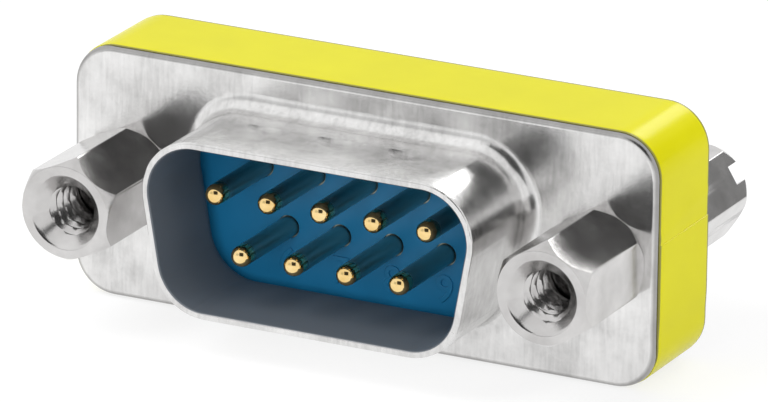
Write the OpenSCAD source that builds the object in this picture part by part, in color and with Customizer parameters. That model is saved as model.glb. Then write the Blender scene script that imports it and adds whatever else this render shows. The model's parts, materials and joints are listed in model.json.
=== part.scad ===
// Back-to-back 9-way d-sub adapter with pins on both faces.
// Two drawn shells meet at the middle plane, and a wrapped label covers the seam.
// Row frame: X across the flange, -Y out of the front face, Z up, origin at the centre of the body.

/* [Body] */
// Distance between the two fastener axes
screw_pitch = 24.99; // [23:0.01:27]
// Distance from a fastener axis to the end of the shell
shell_end = 2.905; // [2.7:0.005:4]
// Height of the shell
shell_h = 12.55; // [12:0.05:15]
// Depth of the body from front face to rear face
body_d = 5.7; // [5.2:0.1:8]
// Radius of the four corners of the outline
shell_corner_r = 2.1; // [1:0.1:3]
// Thickness of the drawn sheet
sheet_t = 0.35; // [0.25:0.01:0.45]
// Outside radius of the fold from face to side wall
fold_r = 0.3; // [0.1:0.05:0.5]
// Gap between the two shells at the middle plane
seam_gap = 0.1; // [0.04:0.02:0.4]

/* [Plug Shell] */
// Distance from a fastener axis to the inside of the D at its middle height
plug_margin = 4.42; // [4.2:0.01:4.8]
// Inside height of the D
plug_h = 8.0; // [7.6:0.05:8.6]
// Slant of the two short sides, degrees
plug_slant = 10; // [6:1:12]
// Inside radius of the four corners of the D
plug_corner_r = 2.4; // [1.6:0.1:3]
// Height of the front D above the flange face
plug_len = 5.75; // [5:0.05:7]
// Height of the rear D above the flange face
rear_plug_len = 4.85; // [4.8:0.05:7]
// Outside radius of the drawn bend at the foot of the D
foot_r = 0.8; // [0.4:0.05:1]
// Rounding of the mouth edge
rim_r = 0.1; // [0.04:0.02:0.12]

/* [Grounding Dents] */
// Distance between the three dents in the long wall
dent_pitch = 3.7; // [3.4:0.1:4.4]
// Width of one dent
dent_w = 2.4; // [1.6:0.1:2.8]
// Depth of one dent
dent_depth = 0.25; // [0.1:0.01:0.28]
// Distance of the straight edge of the dents from the flange face
dent_setback = 2.0; // [1.6:0.1:3]

/* [Contacts] */
// Diameter of a contact pin
pin_d = 1.02; // [0.98:0.01:1.06]
// Distance between pins in one row
pin_pitch = 2.77; // [2.74:0.01:2.8]
// Distance between the two rows
row_pitch = 2.84; // [2.7:0.01:2.9]
// Reach of a pin tip beyond the flange face
pin_reach = 4.65; // [4:0.05:4.95]
// Rounding radius of the pin tip
pin_nose_r = 0.47; // [0.2:0.01:0.48]
// Diameter of the collar that holds a contact in its insulator
collar_d = 1.5; // [1.4:0.02:1.7]
// Length of the collar
collar_len = 0.8; // [0.4:0.1:1]
// Depth of the collar below the visible face
collar_depth = 0.15; // [0.1:0.01:0.18]
// Width of the bridge that joins front and rear pin
bridge_w = 0.6; // [0.4:0.05:0.7]
// Depth of the bridge along the pin direction
bridge_d = 0.7; // [0.4:0.05:1]

/* [Insulators] */
// Set-back of the visible face behind the sheet
face_setback = 0.25; // [0.1:0.05:0.6]
// Clearance between insulator edge and shell wall
insulator_gap = 0.1; // [0.05:0.05:0.3]
// Radial clearance between a contact and its hole
pin_clear = 0.06; // [0.02:0.01:0.08]

/* [Fasteners] */
// Width across flats of a front standoff
front_af = 4.56; // [4.3:0.02:4.8]
// Width across flats of a rear screw head
rear_af = 4.24; // [4:0.02:4.5]
// Length of a front hex standoff
standoff_len = 6.3; // [5:0.1:7]
// Length of a rear hex screw head
head_len = 6.0; // [5.4:0.1:7]
// Length of the chamfer at the outer end of a hex body
nose_len = 0.75; // [0.3:0.05:1]
// Length of the chamfer at the flange end of a hex body
heel_len = 0.8; // [0.3:0.05:1]
// Diameter of the tapped wall of a front standoff, thread tips
tap_front_d = 2.2; // [2.1:0.02:2.26]
// Diameter of the tapped wall of a rear screw, thread tips
tap_rear_d = 2.36; // [2.34:0.02:2.5]
// Diameter of the countersink of a front standoff
sink_front_d = 3.7; // [3:0.05:4]
// Diameter of the countersink of a rear screw
sink_rear_d = 3.45; // [3:0.05:3.8]
// Diameter of the stud on the rear screw
stud_d = 2.84; // [2.6:0.02:2.9]
// Length of stud held in a front standoff
stud_grip = 2.6; // [2:0.1:3.6]
// Radial clearance around the stud in the standoff
stud_clear = 0.03; // [0.02:0.01:0.1]
// Diameter of the fastener holes in shells and insulators
pass_d = 3.2; // [3.06:0.02:3.6]
// Depth of the tapped hole in a rear screw head
blind_depth = 4.3; // [3.4:0.1:4.6]
// Width of the screwdriver slot
slot_w = 0.95; // [0.6:0.05:1.1]
// Depth of the screwdriver slot
slot_depth = 1.0; // [0.6:0.05:1.2]
// Turn of the left front standoff, degrees
turn_front_left = 23; // [0:1:60]
// Turn of the right front standoff, degrees
turn_front_right = 31; // [0:1:60]
// Turn of the left rear screw, degrees
turn_rear_left = 14; // [0:1:60]
// Turn of the right rear screw, degrees
turn_rear_right = 2; // [0:1:60]

/* [Label] */
// Thickness of the label
label_t = 0.1; // [0.06:0.01:0.15]
// Distance of the label from the front face
label_front = 0.3; // [0.3:0.05:0.8]
// Distance of the label from the rear face
label_back = 0.3; // [0.3:0.05:0.8]
// Height of the end of the overlap above the middle
lap_top = 1.0; // [0:0.1:2]
// Length of the overlap down the right side
lap_len = 4.8; // [3:0.1:5]

/* [Hidden] */
$fn = 64;
eps = 0.01;
hair = 0.003;
joint_run = 0.5;
joint_bend = 30;
shell_w = screw_pitch + 2 * shell_end;
plug_mid_w = screw_pitch - 2 * plug_margin;
face_z = body_d / 2;
sheet_back_z = face_z - sheet_t;
insulator_face_z = sheet_back_z - face_setback;
half_h = plug_h / 2;
slant_t = tan(plug_slant);
slant_c = cos(plug_slant);
top_half_w = plug_mid_w / 2 + half_h * slant_t;
arc_z = half_h - plug_corner_r;
arc_x_top = top_half_w - plug_corner_r * slant_t - plug_corner_r / slant_c;
arc_x_low = top_half_w - (plug_h - plug_corner_r) * slant_t - plug_corner_r / slant_c;
side_len = sqrt(pow(arc_x_top - arc_x_low, 2) + pow(2 * arc_z, 2));
screw_x = screw_pitch / 2;
pin_r = pin_d / 2;
collar_r = collar_d / 2;
collar_z = insulator_face_z - collar_depth - collar_len;
row_z = row_pitch / 2;
tip_z = face_z + pin_reach;
dent_r = (pow(dent_w / 2, 2) + pow(dent_depth, 2)) / (2 * dent_depth);
dent_y = half_h + sheet_t - dent_depth + dent_r;
stud_hole_r = stud_d / 2 + stud_clear;

tin = [0.86, 0.86, 0.85];
blue = [0.06, 0.34, 0.52];
gold = [0.86, 0.68, 0.3];
yellow = [0.9, 0.88, 0.12];
nickel = [0.78, 0.78, 0.77];

// Stands a shape drawn in X and Y, with its height along Z, up on the front face.
module upright() {
    rotate([90, 0, 0]) children();
}

// Turns a front piece about X, so that it becomes the equal rear piece.
module to_rear() {
    rotate([180, 0, 0]) children();
}

// Rectangle with round corners.
module round_rect(w, h, r) {
    square([w - 2 * r, h], center = true);
    square([w, h - 2 * r], center = true);
    for (x = [-1, 1]) {
        for (y = [-1, 1]) {
            translate([x * (w / 2 - r), y * (h / 2 - r)]) circle(r);
        }
    }
}

// Section of a slab of width w and height h with both upper edges rounded.
module slab_section(w, h, e) {
    translate([-w / 2, 0]) square([w, h - e]);
    translate([-w / 2 + e, 0]) square([w - 2 * e, h]);
    for (x = [-1, 1]) {
        translate([x * (w / 2 - e), h - e]) circle(e);
    }
}

// Disc section from its axis outward, with its upper edge rounded.
module coin_section(r, h, e) {
    square([r, h - e]);
    square([r - e, h]);
    intersection() {
        translate([r - e, h - e]) circle(e);
        square([r + 1, h + 1]);
    }
}

// Plate with round corners and a rounded upper edge.
module soft_plate(w, h, r, t, e) {
    for (x = [-1, 1]) {
        for (y = [-1, 1]) {
            translate([x * (w / 2 - r), y * (h / 2 - r), 0])
                rotate_extrude() coin_section(r, t, e);
        }
    }
    translate([-(w / 2 - r), 0, 0])
        rotate([90, 0, 90]) linear_extrude(w - 2 * r) slab_section(h, t, e);
    translate([0, h / 2 - r, 0])
        rotate([90, 0, 0]) linear_extrude(h - 2 * r) slab_section(w, t, e);
}

// One straight run of a section, on a side of the D that faces the given angle.
module plug_run(x, y, facing, from, len) {
    translate([x, y, 0])
        rotate([0, 0, facing])
            rotate([90, 0, 0]) translate([0, 0, from]) linear_extrude(len) children();
}

// One corner of a section swept around the D.
module plug_bend(x, y, start, sweep) {
    translate([x, y, 0])
        rotate([0, 0, start]) rotate_extrude(angle = sweep) children();
}

// Where a side meets a corner: a short run and a short bend, which turns the way of turn.
module plug_joint(x, y, facing, turn) {
    plug_run(x, y, facing, turn > 0 ? 0 : -joint_run, joint_run) children();
    plug_bend(x, y, facing, turn * joint_bend) children();
}

// Sweeps a section around the whole D. Its X is measured from the corner centres.
// The first section makes the joints. The second, a hair larger on every side, spans between them.
module plug_sweep() {
    plug_run(-arc_x_top, arc_z, 90, joint_run / 2, 2 * arc_x_top - joint_run) children(1);
    plug_run(arc_x_low, -arc_z, -90, joint_run / 2, 2 * arc_x_low - joint_run) children(1);
    for (side = [0, 1]) {
        mirror([side, 0, 0]) {
            plug_joint(arc_x_top, arc_z, 90, -1) children(0);
            plug_joint(arc_x_top, arc_z, -plug_slant, 1) children(0);
            plug_joint(arc_x_low, -arc_z, -plug_slant, -1) children(0);
            plug_joint(arc_x_low, -arc_z, -90, 1) children(0);
            plug_bend(arc_x_top, arc_z, joint_bend / 2 - plug_slant, 90 + plug_slant - joint_bend)
                children(1);
            plug_bend(arc_x_low, -arc_z, joint_bend / 2 - 90, 90 - plug_slant - joint_bend)
                children(1);
            plug_run(arc_x_top, arc_z, -plug_slant, joint_run / 2, side_len - joint_run)
                children(1);
        }
    }
}

// Filled D outline, grown outward by g from the inside wall.
module plug_outline(g) {
    r = plug_corner_r + g;
    dx = r * slant_c;
    dy = r * sin(plug_slant);
    for (s = [-1, 1]) {
        translate([s * arc_x_top, arc_z]) circle(r + hair);
        translate([s * arc_x_low, -arc_z]) circle(r + hair);
    }
    polygon([
        [-arc_x_top, arc_z + r],
        [arc_x_top, arc_z + r],
        [arc_x_top + dx, arc_z - dy],
        [arc_x_low + dx, -arc_z - dy],
        [arc_x_low, -arc_z - r],
        [-arc_x_low, -arc_z - r],
        [-arc_x_low - dx, -arc_z - dy],
        [-arc_x_top - dx, arc_z - dy]]);
}

// Section of a drawn D of height len, grown by g: flange strip, foot bend, wall and rounded mouth.
module plug_section(g, len) {
    in_x = plug_corner_r - g;
    wall = sheet_t + 2 * g;
    mouth_z = face_z + len + g;
    bend_z = face_z + foot_r;
    bend_x = plug_corner_r + sheet_t + foot_r;
    translate([bend_x, sheet_back_z - g - hair]) square([0.3 + g, wall + 2 * hair]);
    translate([bend_x, bend_z]) {
        intersection() {
            difference() {
                circle(foot_r + sheet_t + g);
                circle(foot_r - g);
            }
            translate([-3, -3]) square([3, 3]);
        }
    }
    translate([in_x, bend_z]) square([wall, mouth_z - rim_r - bend_z]);
    translate([in_x + rim_r, bend_z]) square([wall - 2 * rim_r, mouth_z - bend_z]);
    translate([in_x + rim_r, mouth_z - rim_r]) circle(rim_r);
    translate([in_x + wall - rim_r, mouth_z - rim_r]) circle(rim_r);
}

// Half-moon body of a dent: the part of a ball on the mouth side of a straight edge.
module dent_body(r, low_y, high_y) {
    intersection() {
        translate([0, dent_y, face_z + dent_setback]) sphere(r);
        translate([-dent_w, low_y, face_z + dent_setback])
            cube([2 * dent_w, high_y - low_y, dent_w]);
    }
}

// One drawn shell with a D of height len: pan, flange, D wall, dents and fastener holes.
module shell(len) {
    difference() {
        union() {
            difference() {
                translate([0, 0, seam_gap / 2])
                    soft_plate(shell_w, shell_h, shell_corner_r, face_z - seam_gap / 2, fold_r);
                translate([0, 0, -1])
                    linear_extrude(sheet_back_z + 1)
                        round_rect(shell_w - 2 * sheet_t, shell_h - 2 * sheet_t, shell_corner_r - sheet_t);
                translate([0, 0, sheet_back_z - 1])
                    linear_extrude(sheet_t + 2) plug_outline(sheet_t + foot_r + 0.15);
            }
            plug_sweep() {
                plug_section(0, len);
                plug_section(hair, len);
            }
            for (i = [-1, 0, 1]) {
                translate([i * dent_pitch, 0, 0])
                    dent_body(dent_r + sheet_t, half_h - sheet_t, half_h + eps);
            }
        }
        for (i = [-1, 0, 1]) {
            translate([i * dent_pitch, 0, 0]) dent_body(dent_r, half_h - sheet_t, half_h + sheet_t + 1);
        }
        for (s = [-1, 1]) {
            translate([s * screw_x, 0, 0]) cylinder(r = pass_d / 2, h = face_z + 1);
        }
    }
}

// X and Y of a pin, as seen on the front face.
function pin_x(n) = n <= 5 ? (n - 3) * pin_pitch : (n - 7.5) * pin_pitch;
function pin_y(n) = n <= 5 ? row_z : -row_z;

// Round pin with its collar, from the rear side of the bridge to the rounded tip.
module pin_solid() {
    translate([0, 0, -bridge_d / 2])
        rotate_extrude() {
            coin_section(pin_r, tip_z + bridge_d / 2, pin_nose_r);
            translate([0, collar_z + bridge_d / 2]) square([collar_r, collar_len]);
        }
}

// Hole of a pin with the pocket of its collar, open at the visible face.
module pin_hole() {
    low = -bridge_d / 2 - pin_clear;
    translate([0, 0, low]) cylinder(r = pin_r + pin_clear, h = face_z - low);
    translate([0, 0, collar_z - pin_clear])
        cylinder(r = collar_r + pin_clear, h = collar_len + pin_clear);
}

// Puts its children where the front pin and the rear pin of contact n are.
module at_pins(n) {
    translate([pin_x(n), pin_y(n), 0]) children();
    translate([pin_x(n), -pin_y(n), 0]) to_rear() children();
}

// Bar between the two pins of contact n, with a clearance around it.
module bridge(n, clear) {
    w = bridge_w + 2 * clear;
    d = bridge_d + 2 * clear;
    translate([pin_x(n) - w / 2, -row_z, -d / 2]) cube([w, row_pitch, d]);
}

module contact(n) {
    color(gold) upright() {
        at_pins(n) pin_solid();
        bridge(n, 0);
    }
}

// One insulator half with its pin holes and half of each bridge slot.
module insulator() {
    edge = 2 * (sheet_t + insulator_gap);
    difference() {
        linear_extrude(sheet_back_z)
            round_rect(shell_w - edge, shell_h - edge, shell_corner_r - edge / 2);
        translate([0, 0, insulator_face_z])
            linear_extrude(1) plug_outline(sheet_t + foot_r + 0.4);
        for (n = [1:9]) {
            at_pins(n) pin_hole();
            bridge(n, pin_clear);
        }
        for (s = [-1, 1]) {
            translate([s * screw_x, 0, -1]) cylinder(r = pass_d / 2, h = body_d);
        }
    }
}

// Hex body of the given width and length from the flange face, chamfered at both ends.
module hex_body(af, len, turn) {
    hex_r = af / sqrt(3);
    intersection() {
        rotate([0, 0, turn]) cylinder(r = hex_r, h = len, $fn = 6);
        rotate_extrude()
            polygon([
                [0, 0],
                [af / 2, 0],
                [hex_r + eps, heel_len],
                [hex_r + eps, len - nose_len],
                [af / 2, len],
                [0, len]]);
    }
}

// Tapped hole of radius r with a countersink of radius sink_r at height len, open upward.
module tapped_hole(r, sink_r, len, depth) {
    translate([0, 0, len - depth]) cylinder(r = r, h = depth + 1);
    translate([0, 0, len - (sink_r - r)])
        cylinder(r1 = r, r2 = sink_r + eps, h = sink_r - r + eps);
}

// Front hex standoff with a tapped hole right through it.
module standoff(turn) {
    color(nickel) upright() translate([0, 0, face_z])
        difference() {
            hex_body(front_af, standoff_len, turn);
            tapped_hole(tap_front_d / 2, sink_front_d / 2, standoff_len, standoff_len + 1);
            translate([0, 0, -1]) cylinder(r = stud_hole_r, h = stud_grip + 1.2);
        }
}

// Rear hex screw: slotted and tapped head, and a stud through both shells.
module rear_screw(turn) {
    color(nickel) to_rear() upright() translate([0, 0, face_z]) {
        difference() {
            hex_body(rear_af, head_len, -turn);
            tapped_hole(tap_rear_d / 2, sink_rear_d / 2, head_len, blind_depth);
            rotate([0, 0, -turn - 30])
                translate([-rear_af, -slot_w / 2, head_len - slot_depth])
                    cube([2 * rear_af, slot_w, slot_depth + 1]);
        }
        translate([0, 0, -body_d - stud_grip])
            cylinder(r = stud_d / 2, h = body_d + stud_grip);
    }
}

// Label band around the side walls, doubled where its end laps over.
module label_band() {
    long = body_d - label_front - label_back;
    translate([0, 0, -face_z + label_back])
        linear_extrude(long)
            difference() {
                round_rect(shell_w + 2 * label_t, shell_h + 2 * label_t, shell_corner_r + label_t);
                round_rect(shell_w, shell_h, shell_corner_r);
            }
    translate([shell_w / 2 + label_t, lap_top - lap_len, -face_z + label_back])
        cube([label_t, lap_len, body_d - label_back - 0.05]);
}

module front_shell() {
    color(tin) upright() shell(plug_len);
}

module rear_shell() {
    color(tin) to_rear() upright() shell(rear_plug_len);
}

module front_insulator() {
    color(blue) upright() insulator();
}

module rear_insulator() {
    color(blue) to_rear() upright() insulator();
}

module label() {
    color(yellow) upright() label_band();
}

front_shell();
rear_shell();
front_insulator();
rear_insulator();
contact(1);  // contact_1
contact(2);  // contact_2
contact(3);  // contact_3
contact(4);  // contact_4
contact(5);  // contact_5
contact(6);  // contact_6
contact(7);  // contact_7
contact(8);  // contact_8
contact(9);  // contact_9
label();
translate([-screw_x, 0, 0]) standoff(turn_front_left);  // standoff_left
translate([screw_x, 0, 0]) standoff(turn_front_right);  // standoff_right
translate([-screw_x, 0, 0]) rear_screw(turn_rear_left);  // rear_screw_left
translate([screw_x, 0, 0]) rear_screw(turn_rear_right);  // rear_screw_right
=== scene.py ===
"""Looks of the back-to-back 9-way d-sub adapter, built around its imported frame.

Metres, in the frame's own axes: X across the flange, -Y out of the front face, Z up.
"""

import json
import math

import bmesh
import bpy
from mathutils import Matrix, Vector, noise


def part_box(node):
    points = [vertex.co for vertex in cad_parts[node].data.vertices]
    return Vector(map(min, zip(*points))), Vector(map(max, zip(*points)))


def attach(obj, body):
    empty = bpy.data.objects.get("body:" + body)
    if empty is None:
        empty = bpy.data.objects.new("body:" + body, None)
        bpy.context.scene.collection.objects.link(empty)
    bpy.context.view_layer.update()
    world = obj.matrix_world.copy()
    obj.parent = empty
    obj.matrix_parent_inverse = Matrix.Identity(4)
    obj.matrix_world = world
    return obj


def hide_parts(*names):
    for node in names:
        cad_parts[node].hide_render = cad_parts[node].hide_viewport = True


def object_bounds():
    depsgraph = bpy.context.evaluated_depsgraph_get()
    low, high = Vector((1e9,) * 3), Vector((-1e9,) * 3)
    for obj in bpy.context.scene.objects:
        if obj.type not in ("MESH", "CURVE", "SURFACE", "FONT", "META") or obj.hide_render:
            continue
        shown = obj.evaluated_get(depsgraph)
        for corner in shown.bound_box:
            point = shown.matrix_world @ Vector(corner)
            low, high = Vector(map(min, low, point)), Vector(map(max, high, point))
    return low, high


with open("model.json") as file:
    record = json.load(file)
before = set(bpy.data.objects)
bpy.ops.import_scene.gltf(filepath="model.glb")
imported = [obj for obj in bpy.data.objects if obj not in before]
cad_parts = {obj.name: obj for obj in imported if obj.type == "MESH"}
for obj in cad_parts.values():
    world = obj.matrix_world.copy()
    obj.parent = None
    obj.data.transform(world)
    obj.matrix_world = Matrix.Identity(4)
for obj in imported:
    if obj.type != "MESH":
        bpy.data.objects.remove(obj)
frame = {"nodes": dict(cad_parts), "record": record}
cad_low, cad_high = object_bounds()

MM = 0.001
TAU = 2 * math.pi
nodes = frame["nodes"]
mounts = {m["name"]: m for m in frame["record"]["mounts"]}


# ---------------------------------------------------------------- places read from the frame

shell_low, shell_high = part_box("front_shell")
FACE_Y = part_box("standoff_left")[1].y
MOUTH_Y = shell_low.y
SHELL_HALF_W = shell_high.x
SHELL_HALF_H = shell_high.z
LABEL_LOW, LABEL_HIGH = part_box("label")
BODY_HALF_D = -FACE_Y
FLOOR_Z = cad_low[2]
PIN_TIP_Y = -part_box("contact_1")[0].y
CORNER_R = 2.1 * MM                        # corner of the shell's outline
LABEL_INSET = 0.2 * MM                     # label edges behind the two flange faces
LABEL_RIM = BODY_HALF_D - LABEL_INSET
INSIDE_SHADE = (0.12, 0.135, 0.155)               # painted shade: slate colour of the dull inside walls of the D


# ---------------------------------------------------------------- node helpers

class Look:
    """A procedural material under construction: short calls that add and join nodes."""

    def __init__(self, name):
        self.mat = bpy.data.materials.new(name)
        self.mat.use_nodes = True
        self.tree = self.mat.node_tree
        self.tree.nodes.clear()
        self.out = self.add("ShaderNodeOutputMaterial")
        place = self.add("ShaderNodeTexCoord")
        self.coord = place.outputs["Object"]
        self.normal = place.outputs["Normal"]

    def add(self, kind, **inputs):
        node = self.tree.nodes.new(kind)
        for key, value in inputs.items():
            self.put(node, key.replace("_", " "), value)
        return node

    def put(self, node, key, value):
        socket = node.inputs[key]
        if isinstance(value, bpy.types.NodeSocket):
            self.tree.links.new(value, socket)
        else:
            socket.default_value = value

    def scaled(self, x, y, z):
        """Object coordinates scaled by direction, so that a texture can be drawn out."""
        node = self.add("ShaderNodeMapping", Vector=self.coord)
        node.inputs["Scale"].default_value = (x, y, z)
        return node.outputs["Vector"]

    def noise(self, size, detail=3.0, rough=0.5, vector=None, warp=0.0):
        """Noise whose features are about size metres across."""
        node = self.add("ShaderNodeTexNoise", Vector=vector or self.coord, Scale=1 / size,
                        Detail=detail, Roughness=rough, Distortion=warp)
        return node.outputs["Fac"]

    def ramp(self, value, stops):
        """Maps a value through grey or coloured stops, each (position, colour)."""
        node = self.add("ShaderNodeValToRGB", Fac=value)
        points = node.color_ramp.elements
        while len(points) < len(stops):
            points.new(0.5)
        for point, (position, colour) in zip(points, stops):
            point.position = position
            grey = isinstance(colour, (int, float))
            point.color = (colour, colour, colour, 1) if grey else (*colour, 1)
        return node.outputs["Color"]

    def span(self, value, low, high):
        """Maps 0..1 onto low..high."""
        node = self.add("ShaderNodeMapRange", Value=value)
        node.inputs["To Min"].default_value = low
        node.inputs["To Max"].default_value = high
        return node.outputs["Result"]

    def axis(self, name):
        """Object coordinate along X, Y or Z."""
        return self.add("ShaderNodeSeparateXYZ", Vector=self.coord).outputs[name]

    def corner_reach(self):
        """Distance outward from the rectangle through the centres of the shell's corners."""
        over = []
        for name, half in (("X", SHELL_HALF_W), ("Z", SHELL_HALF_H)):
            out = self.math("SUBTRACT", self.math("ABSOLUTE", self.axis(name)), half - CORNER_R)
            over.append(self.math("POWER", self.math("MAXIMUM", out, 0.0), 2.0))
        return self.math("SQRT", self.math("ADD", *over))

    def inward(self):
        """How far a surface faces the middle of the part, in metres: positive on inside walls."""
        node = self.add("ShaderNodeVectorMath")
        node.operation = "DOT_PRODUCT"
        self.put(node, 0, self.scaled(-1, 0, -1))
        self.put(node, 1, self.normal)
        return node.outputs["Value"]

    def step(self, value, start, end):
        """Rises from 0 to 1 as value goes from start to end."""
        node = self.add("ShaderNodeMapRange", Value=value)
        node.inputs["From Min"].default_value = start
        node.inputs["From Max"].default_value = end
        return node.outputs["Result"]

    def math(self, operation, a, b=0.0):
        node = self.add("ShaderNodeMath")
        node.operation = operation
        self.put(node, 0, a)
        self.put(node, 1, b)
        return node.outputs[0]

    def bump(self, height, depth, strength=1.0, normal=None):
        """Bump of the given depth in metres."""
        node = self.add("ShaderNodeBump", Height=height, Strength=strength, Distance=depth)
        if normal:
            self.put(node, "Normal", normal)
        return node.outputs["Normal"]

    def principled(self, **inputs):
        node = self.add("ShaderNodeBsdfPrincipled", **inputs)
        self.tree.links.new(node.outputs["BSDF"], self.out.inputs["Surface"])
        return node


def mixed(look, factor, a, b):
    """Mixes two colours by a factor socket."""
    node = look.add("ShaderNodeMix")
    node.data_type = "RGBA"
    look.put(node, 0, factor)
    look.put(node, 6, (*a, 1) if isinstance(a, tuple) else a)
    look.put(node, 7, (*b, 1) if isinstance(b, tuple) else b)
    return node.outputs[2]


# ---------------------------------------------------------------- materials

def tin_plate():
    """Bright tin plate on drawn steel: grain, streaks, dull patches, painted shade in a dark band at
    the outline's fold and in slate on the inside walls of the D.
    """
    look = Look("tin_plate")
    patches = look.noise(3.0 * MM, detail=5, rough=0.65)
    streaks = look.noise(0.22 * MM, detail=3, vector=look.scaled(1, 1, 0.12), warp=0.3)
    grain = look.noise(0.12 * MM, detail=2, rough=0.6)
    tone = look.math("ADD", look.span(patches, 0.0, 0.75), look.span(streaks, 0.0, 0.25))
    colour = look.ramp(tone, [(0.3, (0.5, 0.495, 0.49)), (0.5, (0.72, 0.715, 0.71)),
                              (0.68, (0.86, 0.855, 0.85))])
    # painted shade: a dark band where the sheet folds round the outline of the flange faces, and on
    # the outer sides beyond it
    fold_shade = look.step(look.corner_reach(), CORNER_R - 0.28 * MM, CORNER_R - 0.12 * MM)
    colour = mixed(look, look.math("MULTIPLY", fold_shade, 0.65), colour, (0.16, 0.155, 0.15))
    # painted shade: the inside walls of the D take the slate colour, with less metal and more
    # roughness
    inside = look.step(look.inward(), 1.5 * MM, 3.0 * MM)
    colour = mixed(look, inside, colour, INSIDE_SHADE)
    rough = look.math("ADD", look.span(patches, 0.17, 0.28), look.span(inside, 0.0, 0.3))
    normal = look.bump(grain, 0.003 * MM, 0.6)
    normal = look.bump(streaks, 0.004 * MM, 0.5, normal)
    normal = look.bump(look.noise(0.9 * MM, detail=2), 0.01 * MM, 0.7, normal)
    look.principled(Base_Color=colour, Metallic=look.span(inside, 1.0, 0.25), Roughness=rough,
                    Normal=normal)
    return look.mat


def nickel():
    """Nickel plated turned steel: fine tool marks and small differences in gloss."""
    look = Look("nickel")
    patches = look.noise(1.4 * MM, detail=4)
    marks = look.noise(0.06 * MM, detail=2, vector=look.scaled(1, 6, 1))
    grain = look.noise(0.1 * MM, detail=2, rough=0.6)
    colour = look.ramp(patches, [(0.25, (0.5, 0.49, 0.485)), (0.75, (0.66, 0.65, 0.645))])
    rough = look.span(patches, 0.12, 0.24)
    normal = look.bump(marks, 0.0015 * MM, 0.6)
    normal = look.bump(grain, 0.003 * MM, 0.5, normal)
    look.principled(Base_Color=colour, Metallic=1.0, Roughness=rough, Normal=normal)
    return look.mat


def contact_gold():
    """Gold flash at the tips of turned pins, wearing off to dull plating along the shafts."""
    look = Look("contact_gold")
    patches = look.noise(0.8 * MM, detail=3)
    marks = look.noise(0.08 * MM, detail=2, vector=look.scaled(4, 0.6, 4))
    gold = look.ramp(patches, [(0.3, (0.83, 0.57, 0.22)), (0.7, (0.94, 0.72, 0.36))])
    depth = look.math("SUBTRACT", PIN_TIP_Y, look.math("ABSOLUTE", look.axis("Y")))
    shaft = look.step(depth, 0.6 * MM, 1.0 * MM)
    colour = mixed(look, shaft, gold, (0.42, 0.45, 0.38))
    rough = look.math("ADD", look.span(patches, 0.05, 0.1), look.span(shaft, 0.0, 0.25))
    look.principled(Base_Color=colour, Metallic=1.0, Roughness=rough,
                    Normal=look.bump(marks, 0.0008 * MM, 0.5))
    return look.mat


def insulator_blue():
    """Blue moulded plastic with a satin skin and a fine spark-eroded grain."""
    look = Look("insulator")
    cloud = look.noise(3 * MM, detail=3)
    grain = look.noise(0.07 * MM, detail=2, rough=0.6)
    colour = look.ramp(cloud, [(0.3, (0.012, 0.19, 0.4)), (0.7, (0.017, 0.22, 0.46))])
    look.principled(Base_Color=colour, Roughness=look.span(grain, 0.34, 0.46),
                    Specular_IOR_Level=0.4, Normal=look.bump(grain, 0.002 * MM, 0.5))
    return look.mat


def label_film():
    """Yellow vinyl film, slightly uneven in colour, with a soft orange peel and painted shade along
    its front and back edges.
    """
    look = Look("label_film")
    cloud = look.noise(4 * MM, detail=4)
    peel = look.noise(0.5 * MM, detail=2)
    grain = look.noise(0.05 * MM, detail=2)
    colour = look.ramp(cloud, [(0.3, (0.64, 0.6, 0.001)), (0.7, (0.68, 0.64, 0.003))])
    # painted shade: a ragged dark band along the label's front and back edges, next to the shell's
    # fold
    depth = look.math("ABSOLUTE", look.axis("Y"))
    ragged = look.math("ADD", depth, look.span(peel, -0.02 * MM, 0.02 * MM))
    rim_shade = look.step(ragged, LABEL_RIM - 0.16 * MM, LABEL_RIM - 0.07 * MM)
    colour = mixed(look, look.math("MULTIPLY", rim_shade, 0.8), colour, (0.12, 0.11, 0.06))
    normal = look.bump(peel, 0.002 * MM, 0.6)
    normal = look.bump(grain, 0.0006 * MM, 0.5, normal)
    look.principled(Base_Color=colour, Roughness=look.span(cloud, 0.2, 0.3),
                    Specular_IOR_Level=0.06, Normal=normal)
    return look.mat


LOOKS = {
    "tin_plate": tin_plate(),
    "nickel": nickel(),
    "contact_gold": contact_gold(),
    "insulator": insulator_blue(),
    "label_film": label_film(),
}


def dress(piece, slot):
    """Gives a piece the look of a material slot of the record."""
    piece.data.materials.clear()
    piece.data.materials.append(LOOKS[slot])


for part in frame["record"]["subparts"]:
    node = nodes[part["node"]]
    dress(node, part["material_slot"])
    for polygon in node.data.polygons:
        polygon.use_smooth = True


# ---------------------------------------------------------------- mesh helpers

def finished(name, mesh, slot, stands_for=(), sharp_deg=22):
    """Links a mesh as a piece of the part, with a look, on the one body."""
    piece = bpy.data.objects.new(name, mesh)
    bpy.context.scene.collection.objects.link(piece)
    for polygon in mesh.polygons:
        polygon.use_smooth = True
    mesh.set_sharp_from_angle(angle=math.radians(sharp_deg))
    dress(piece, slot)
    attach(piece, "root")
    if stands_for:
        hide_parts(*stands_for)
    return piece


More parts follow.
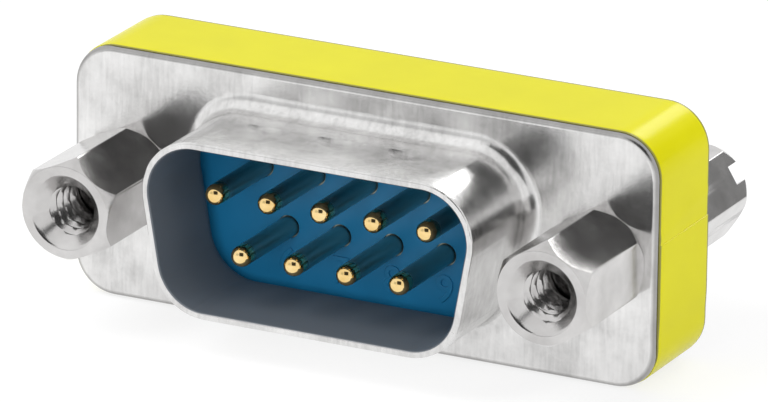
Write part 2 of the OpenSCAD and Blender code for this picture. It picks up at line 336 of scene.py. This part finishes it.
def ring_mesh(name, columns, closed_path=False):
    """Joins columns of points, side by side around an axis, into one closed surface.

    Each column runs from its first to its last point. Points that all columns share at an
    end become one vertex. With closed_path, a column's last point joins its first.
    """
    bm = bmesh.new()
    rows = len(columns[0])
    ends = {}
    if not closed_path:
        for row in (0, rows - 1):
            first = Vector(columns[0][row])
            if all((Vector(c[row]) - first).length < 1e-9 for c in columns):
                ends[row] = bm.verts.new(first)
    grid = [[ends.get(r) or bm.verts.new(c[r]) for r in range(rows)] for c in columns]
    for i, left in enumerate(grid):
        right = grid[(i + 1) % len(grid)]
        for r in range(rows if closed_path else rows - 1):
            s = (r + 1) % rows
            corners = []
            for v in (left[r], right[r], right[s], left[s]):
                if v not in corners:
                    corners.append(v)
            if len(corners) > 2:
                bm.faces.new(corners)
    bmesh.ops.recalc_face_normals(bm, faces=bm.faces)
    mesh = bpy.data.meshes.new(name)
    bm.to_mesh(mesh)
    bm.free()
    return mesh


# ---------------------------------------------------------------- hex standoffs and rear screws

FRONT_HALF = 2.28 * MM        # half the width across flats of a standoff
REAR_HALF = 2.12 * MM         # half the width across flats of a rear screw head
CORNER_SOFT = 0.12 * MM       # rounding of the six long edges
EDGE_SOFT = 0.035 * MM        # rounding of the rims
NOSE_LEN = 0.75 * MM          # chamfer at the open end
HEEL_LEN = 0.8 * MM           # chamfer at the flange end
FRONT_TIP_R = mounts["front_jack_left"]["dims"]["r_mm"] * MM
REAR_TIP_R = mounts["rear_jack_left"]["dims"]["r_mm"] * MM
ROOT_R = 1.40 * MM            # thread roots
FRONT_SINK_R = 1.85 * MM      # countersink of a standoff
REAR_SINK_R = 1.725 * MM      # countersink of a rear screw
PITCH = 0.635 * MM            # 4-40 thread
STUD_R = 1.42 * MM
STUD_HOLE_R = 1.45 * MM
STUD_GRIP = 2.6 * MM
BLIND_DEPTH = 4.3 * MM
SLOT_W = 0.95 * MM
SLOT_DEPTH = 1.0 * MM
THREAD_ROWS = 10              # rows in one pitch


def hex_radius(half, angle):
    """Distance from the axis to the side of the hexagon, with its corners a little round."""
    off = abs((angle + math.pi / 6) % (math.pi / 3) - math.pi / 6)
    flat = half / math.cos(math.pi / 6 - off)
    centre = (half - CORNER_SOFT) / math.cos(math.pi / 6)
    reach = CORNER_SOFT ** 2 - (centre * math.sin(off)) ** 2
    touch = math.atan2(CORNER_SOFT * 0.5, centre + CORNER_SOFT * math.cos(math.pi / 6))
    if off < touch and reach > 0:
        return centre * math.cos(off) + math.sqrt(reach)
    return flat


def hex_angles():
    """Angles around a hexagon, close together at its corners."""
    near = [-2.2, -1.1, 0, 1.1, 2.2]
    flat = [6, 11, 16.5, 22, 27.5, 30, 32.5, 38, 43.5, 49, 54]
    return [math.radians(60 * k + a) for k in range(6) for a in near + flat]


def thread_radius(angle, height, tip):
    """Radius of a 60 degree thread with flat tips and roots."""
    turn = (height / PITCH - angle / TAU) % 1
    cut = min(max((abs(turn - 0.5) * 2 - 0.14) / 0.72, 0), 1)
    return tip + (ROOT_R - tip) * cut


def outer_side(half, angle, length):
    """(radius, height) of the outside of a hex body from the flange to its open end."""
    side = hex_radius(half, angle)
    corner = half / math.cos(math.pi / 6)
    slope_nose = (corner - half) / NOSE_LEN
    slope_heel = (corner - half) / HEEL_LEN
    nose = min(length - (side - half) / slope_nose, length - EDGE_SOFT)
    heel = max((side - half) / slope_heel, EDGE_SOFT)
    return [
        (half - EDGE_SOFT, 0.0),
        (half - 0.25 * EDGE_SOFT, 0.3 * EDGE_SOFT),
        (min(half + slope_heel * EDGE_SOFT, side), EDGE_SOFT),
        (side, heel),
        (side, nose),
        (min(half + slope_nose * EDGE_SOFT, side), length - EDGE_SOFT),
        (half - 0.25 * EDGE_SOFT, length - 0.3 * EDGE_SOFT),
        (half - EDGE_SOFT, length),
    ]


def tapped_side(angle, length, low, tip, sink):
    """(radius, height) down a countersunk and threaded hole, from the open end to height low."""
    points = [(sink + EDGE_SOFT, length), (sink + 0.2 * EDGE_SOFT, length - 0.25 * EDGE_SOFT)]
    rows = int((length - low) / PITCH * THREAD_ROWS)
    for k in range(1, rows + 1):
        height = length - (length - low) * k / rows
        cone = sink - (length - height)
        points.append((max(cone, thread_radius(angle, height, tip)), height))
    return points


def turn_of(node):
    """Angle of a hex corner of a CAD node about its axis, seen from the front."""
    low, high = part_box(node)
    centre = (low + high) / 2
    far = max(nodes[node].data.vertices,
              key=lambda v: (round(math.hypot(v.co.x - centre.x, v.co.z - centre.z), 6),
                             round(v.co.x, 6)))
    return math.atan2(far.co.z - centre.z, far.co.x - centre.x)


def upright(centre_x, turn, facing):
    """From a local frame with its height on Z to a fastener on the front (-1) or rear (1)."""
    stand = Matrix.Rotation(math.pi / 2 * -facing, 4, "X")
    place = Matrix.Translation((centre_x, facing * BODY_HALF_D, 0))
    return place @ stand @ Matrix.Rotation(-facing * turn, 4, "Z")


def columns_of(angles, side):
    """Points of each column, from (radius, height) pairs given for each angle."""
    return [[(r * math.cos(a), r * math.sin(a), z) for r, z in side(a)] for a in angles]


def standoff(name, node):
    low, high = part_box(node)
    length = high.y - low.y

    def side(angle):
        low_end = STUD_GRIP + 0.25 * MM
        tapped = tapped_side(angle, length, low_end, FRONT_TIP_R, FRONT_SINK_R)
        inner = [(STUD_HOLE_R, low_end), (STUD_HOLE_R, 0.0)]
        return outer_side(FRONT_HALF, angle, length) + tapped + inner

    mesh = ring_mesh(name, columns_of(hex_angles(), side), closed_path=True)
    mesh.transform(upright((low.x + high.x) / 2, turn_of(node), -1))
    return finished(name, mesh, "nickel", [node])


def rear_screw(name, node):
    low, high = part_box(node)
    length = high.y - BODY_HALF_D
    stud_end = low.y - BODY_HALF_D

    def side(angle):
        floor = length - BLIND_DEPTH
        stud = [(0.0, stud_end), (STUD_R - 0.3 * MM, stud_end), (STUD_R, stud_end + 0.3 * MM),
                (STUD_R, 0.0)]
        tapped = tapped_side(angle, length, floor, REAR_TIP_R, REAR_SINK_R)
        return stud + outer_side(REAR_HALF, angle, length) + tapped + [(0.0, floor)]

    mesh = ring_mesh(name, columns_of(hex_angles(), side))
    cutter = bmesh.new()
    bmesh.ops.create_cube(cutter, size=1)
    tool = bpy.data.meshes.new("slot_tool")
    cutter.to_mesh(tool)
    cutter.free()
    size = Matrix.Diagonal((4 * REAR_HALF, SLOT_W, 2 * SLOT_DEPTH, 1))
    turned = Matrix.Rotation(math.radians(-30), 4, "Z")
    tool.transform(turned @ Matrix.Translation((0, 0, length)) @ size)
    mesh = cut(mesh, tool)
    mesh.name = name
    mesh.transform(upright((low.x + high.x) / 2, turn_of(node), 1))
    return finished(name, mesh, "nickel", [node])


def cut(mesh, tool):
    """mesh less tool."""
    body, blade = (bpy.data.objects.new("cutting", m) for m in (mesh, tool))
    for o in (body, blade):
        bpy.context.scene.collection.objects.link(o)
    modifier = body.modifiers.new("cut", "BOOLEAN")
    modifier.operation = "DIFFERENCE"
    modifier.solver = "EXACT"
    modifier.object = blade
    bpy.context.view_layer.update()
    result = bpy.data.meshes.new_from_object(body.evaluated_get(bpy.context.evaluated_depsgraph_get()))
    for o in (body, blade):
        bpy.data.objects.remove(o)
    return result


standoff("standoff_left_turned", "standoff_left")
standoff("standoff_right_turned", "standoff_right")
rear_screw("rear_screw_left_turned", "rear_screw_left")
rear_screw("rear_screw_right_turned", "rear_screw_right")


# ---------------------------------------------------------------- label

LABEL_T = 0.5 * (LABEL_HIGH.z - SHELL_HALF_H)   # one layer lies close to the metal
LAP_T = 0.04 * MM                          # step at the free end of the overlap
LAP_TOP = 1.0 * MM                         # height of the free end of the overlap
LAP_END = -3.8 * MM                        # where the overlap has sunk back to one layer
LABEL_STEP = 0.25 * MM


def outline_points():
    """Points, normals and heights around the shell's outline, from the middle of the right side."""
    w, h, r = SHELL_HALF_W, SHELL_HALF_H, CORNER_R
    points = []

    def straight(a, b, normal):
        count = max(int((b - a).length / LABEL_STEP), 1)
        for k in range(count):
            points.append((a.lerp(b, k / count), normal))

    def corner(cx, cz, start):
        for k in range(12):
            a = math.radians(start + 90 * k / 12)
            normal = Vector((math.cos(a), math.sin(a)))
            points.append((Vector((cx, cz)) + r * normal, normal))

    straight(Vector((w, LAP_TOP)), Vector((w, h - r)), Vector((1, 0)))
    corner(w - r, h - r, 0)
    straight(Vector((w - r, h)), Vector((r - w, h)), Vector((0, 1)))
    corner(r - w, h - r, 90)
    straight(Vector((-w, h - r)), Vector((-w, r - h)), Vector((-1, 0)))
    corner(r - w, r - h, 180)
    straight(Vector((r - w, -h)), Vector((w - r, -h)), Vector((0, -1)))
    corner(w - r, r - h, 270)
    straight(Vector((w, r - h)), Vector((w, LAP_TOP - 0.02 * MM)), Vector((1, 0)))
    points.append((Vector((w, LAP_TOP - 0.02 * MM)), Vector((1, 0))))
    return points


def wrinkle(y, z):
    """Height of the low crease that runs from the lap's free end up to the back."""
    ridge = LAP_TOP + 0.25 * MM + 0.18 * (y + BODY_HALF_D)
    off = (z - ridge) / (0.22 * MM)
    return 0.022 * MM * math.exp(-off * off)


def label_wrap():
    back = BODY_HALF_D - LABEL_INSET
    across = 22
    soft = 0.02 * MM
    columns = []
    for point, normal in outline_points():
        x, z = point
        lapped = 0.0
        if normal.x > 0.5 and z < LAP_TOP - 0.01 * MM:
            lapped = min(max((z - LAP_END) / (1.2 * MM), 0), 1)
            lapped = lapped * lapped * (3 - 2 * lapped)
        away = max(0.0, -normal.x, -normal.y)
        front = -BODY_HALF_D + LABEL_INSET + 0.35 * MM * away
        column = [(x, front, z)]
        for k in range(across + 1):
            y = front + (back - front) * k / across
            lift = LABEL_T + LAP_T * lapped
            if normal.x > 0.9:
                lift += wrinkle(y, z)
            if k in (0, across):
                lift -= soft
            column.append((x + normal.x * lift, y, z + normal.y * lift))
        column.append((x, back, z))
        columns.append(column)
    mesh = ring_mesh("label_wrap", columns, closed_path=True)
    return finished("label_wrap", mesh, "label_film", ["label"], sharp_deg=35)


label_wrap()


# ---------------------------------------------------------------- pin numbers on the insulators

FACE_SETBACK = 0.25 * MM      # visible blue face behind the sheet
DIGIT_SIZE = 1.9 * MM
DIGIT_RISE = 0.05 * MM
DIGIT_Z = 3.2 * MM            # height of a row of numbers, above or below the middle


def digit_mesh(text):
    """One raised figure, flat on XY, centred on the origin."""
    curve = bpy.data.curves.new("digit", "FONT")
    curve.body = text
    curve.size = DIGIT_SIZE
    curve.align_x, curve.align_y = "CENTER", "CENTER"
    curve.resolution_u = 4
    curve.extrude = DIGIT_RISE
    curve.bevel_depth = 0.03 * MM
    curve.bevel_resolution = 1
    holder = bpy.data.objects.new("digit", curve)
    bpy.context.scene.collection.objects.link(holder)
    bpy.context.view_layer.update()
    mesh = bpy.data.meshes.new_from_object(holder.evaluated_get(bpy.context.evaluated_depsgraph_get()))
    bpy.data.objects.remove(holder)
    return mesh


def pin_numbers(name, to_face):
    """The figures 1 to 9 beside the pins of one face, as one piece."""
    first, last = mounts["front_pin_1"]["pos_m"][0], mounts["front_pin_5"]["pos_m"][0]
    pitch = (last - first) / 4
    face_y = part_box("front_insulator")[0].y + FACE_SETBACK
    stand = Matrix.Rotation(math.pi / 2, 4, "X")
    bm = bmesh.new()
    for n in range(1, 10):
        upper = n <= 5
        x = (n - 3) * pitch if upper else (n - 7.5) * pitch
        place = Matrix.Translation((x, face_y, DIGIT_Z if upper else -DIGIT_Z))
        mesh = digit_mesh(str(n))
        mesh.transform(to_face @ place @ stand)
        bm.from_mesh(mesh)
        bpy.data.meshes.remove(mesh)
    mesh = bpy.data.meshes.new(name)
    bm.to_mesh(mesh)
    bm.free()
    return finished(name, mesh, "insulator")


pin_numbers("pin_numbers_front", Matrix.Identity(4))
pin_numbers("pin_numbers_rear", Matrix.Rotation(math.pi, 4, "X"))


# ---------------------------------------------------------------- floor, light and camera

def either(look, *rays):
    """1 for a ray of any of the given kinds."""
    path = look.add("ShaderNodeLightPath")
    total = path.outputs[rays[0]]
    for kind in rays[1:]:
        total = look.math("MAXIMUM", total, path.outputs[kind])
    return total


def set_stage():
    """Pale paper floor, which the camera and mirror rays see as nearly white, with its shadow."""
    size = 1.2
    mesh = bpy.data.meshes.new("floor")
    corners = [(-size, -size), (size, -size), (size, size), (-size, size)]
    mesh.from_pydata([(x, y, FLOOR_Z) for x, y in corners], [], [(0, 1, 2, 3)])
    floor = bpy.data.objects.new("floor", mesh)
    bpy.context.scene.collection.objects.link(floor)
    look = Look("floor_paper")
    seen = either(look, "Is Camera Ray", "Is Glossy Ray", "Is Transmission Ray")
    tone = look.ramp(look.noise(0.01, detail=4), [(0.2, 0.78), (0.8, 0.8)])
    paper = look.add("ShaderNodeBsdfDiffuse", Color=tone)
    dim = look.add("ShaderNodeBsdfDiffuse", Color=(0.25, 0.25, 0.25, 1))
    glow = look.add("ShaderNodeEmission", Color=(1, 1, 1, 1), Strength=0.78)
    half = look.add("ShaderNodeAddShader")
    look.tree.links.new(dim.outputs[0], half.inputs[0])
    look.tree.links.new(glow.outputs[0], half.inputs[1])
    blend = look.add("ShaderNodeMixShader", Fac=seen)
    look.tree.links.new(paper.outputs[0], blend.inputs[1])
    look.tree.links.new(half.outputs[0], blend.inputs[2])
    look.tree.links.new(blend.outputs[0], look.out.inputs["Surface"])
    mesh.materials.append(look.mat)


def dark_card(name, azimuth, elevation, distance, size, tone):
    """Card of the darkened room, seen only in mirror reflections. Azimuth 0 is the front."""
    azimuth, elevation = math.radians(azimuth), math.radians(elevation)
    place = distance * Vector((math.sin(azimuth) * math.cos(elevation),
                               -math.cos(azimuth) * math.cos(elevation), math.sin(elevation)))
    mesh = bpy.data.meshes.new(name)
    w, h = size[0] / 2, size[1] / 2
    mesh.from_pydata([(-w, -h, 0), (w, -h, 0), (w, h, 0), (-w, h, 0)], [], [(0, 1, 2, 3)])
    card = bpy.data.objects.new(name, mesh)
    bpy.context.scene.collection.objects.link(card)
    card.rotation_euler = place.to_track_quat("Z", "Y").to_euler()
    card.location = place
    card.visible_camera = False
    card.visible_diffuse = False
    card.visible_shadow = False
    look = Look(name + "_felt")
    cloud = look.noise(0.12, detail=2)
    glow = look.add("ShaderNodeEmission", Strength=look.span(cloud, 0.6 * tone, 1.4 * tone))
    look.tree.links.new(glow.outputs[0], look.out.inputs["Surface"])
    mesh.materials.append(look.mat)


def set_world():
    """Even white surroundings, softer as light than as background."""
    world = bpy.data.worlds.new("studio")
    bpy.context.scene.world = world
    world.use_nodes = True
    tree = world.node_tree
    tree.nodes.clear()
    out = tree.nodes.new("ShaderNodeOutputWorld")
    path = tree.nodes.new("ShaderNodeLightPath")
    seen = path.outputs["Is Camera Ray"]
    for kind in ("Is Glossy Ray", "Is Transmission Ray"):
        join = tree.nodes.new("ShaderNodeMath")
        join.operation = "MAXIMUM"
        tree.links.new(seen, join.inputs[0])
        tree.links.new(path.outputs[kind], join.inputs[1])
        seen = join.outputs[0]
    shades = []
    for strength in (0.55, 1.0):
        shade = tree.nodes.new("ShaderNodeBackground")
        shade.inputs["Color"].default_value = (1, 1, 1, 1)
        shade.inputs["Strength"].default_value = strength
        shades.append(shade)
    mix = tree.nodes.new("ShaderNodeMixShader")
    tree.links.new(seen, mix.inputs[0])
    tree.links.new(shades[0].outputs[0], mix.inputs[1])
    tree.links.new(shades[1].outputs[0], mix.inputs[2])
    tree.links.new(mix.outputs[0], out.inputs["Surface"])


def area_light(name, place, size, power, mirrored=True):
    """A soft rectangular lamp aimed at the part. Mirrored lamps show in metal."""
    data = bpy.data.lights.new(name, "AREA")
    data.shape = "RECTANGLE"
    data.size, data.size_y = size
    data.energy = power
    lamp = bpy.data.objects.new(name, data)
    bpy.context.scene.collection.objects.link(lamp)
    lamp.rotation_euler = (-Vector(place)).to_track_quat("-Z", "Y").to_euler()
    lamp.location = place
    lamp.visible_glossy = mirrored
    return lamp


def set_camera():
    azimuth, elevation, roll = (math.radians(a) for a in (26.67, 19.10, 0.65))
    distance = 450 * MM
    back = Vector((math.sin(azimuth) * math.cos(elevation),
                   -math.cos(azimuth) * math.cos(elevation), math.sin(elevation)))
    right = Vector((math.cos(azimuth), math.sin(azimuth), 0))
    up = back.cross(right)
    rolled_right = math.cos(roll) * right + math.sin(roll) * up
    rolled_up = -math.sin(roll) * right + math.cos(roll) * up
    target = Vector((0, FACE_Y, 0)) + 1.0743 * MM * rolled_right + 0.6988 * MM * rolled_up
    data = bpy.data.cameras.new("camera")
    data.sensor_width = 36
    data.lens = 447.5
    data.clip_start, data.clip_end = 0.01, 10
    camera = bpy.data.objects.new("camera", data)
    bpy.context.scene.collection.objects.link(camera)
    turn = Matrix((rolled_right, rolled_up, back)).transposed().to_4x4()
    camera.matrix_world = Matrix.Translation(target + distance * back) @ turn
    bpy.context.scene.camera = camera


set_stage()
set_world()
area_light("key", (-0.35, -0.3, 0.6), (0.5, 0.5), 2.4, mirrored=False)
area_light("key_glint", (-0.35, -0.3, 0.6), (0.35, 0.35), 1.3)
area_light("front_fill", (0.25, -0.7, 0.25), (0.6, 0.4), 2.4, mirrored=False)
area_light("right_fill", (0.7, -0.15, 0.15), (0.5, 0.5), 1.7, mirrored=False)
area_light("back_strip", (-0.02, 0.6, 0.37), (0.22, 0.22), 1.0)
dark_card("card_front", 16, 30, 0.6, (0.5, 0.42), 0.05)
dark_card("card_left", -29, 18, 0.6, (0.28, 0.24), 0.68)
dark_card("card_back", 150, 12, 0.6, (0.3, 0.22), 0.3)
set_camera()
bpy.context.scene.view_settings.view_transform = "Standard"
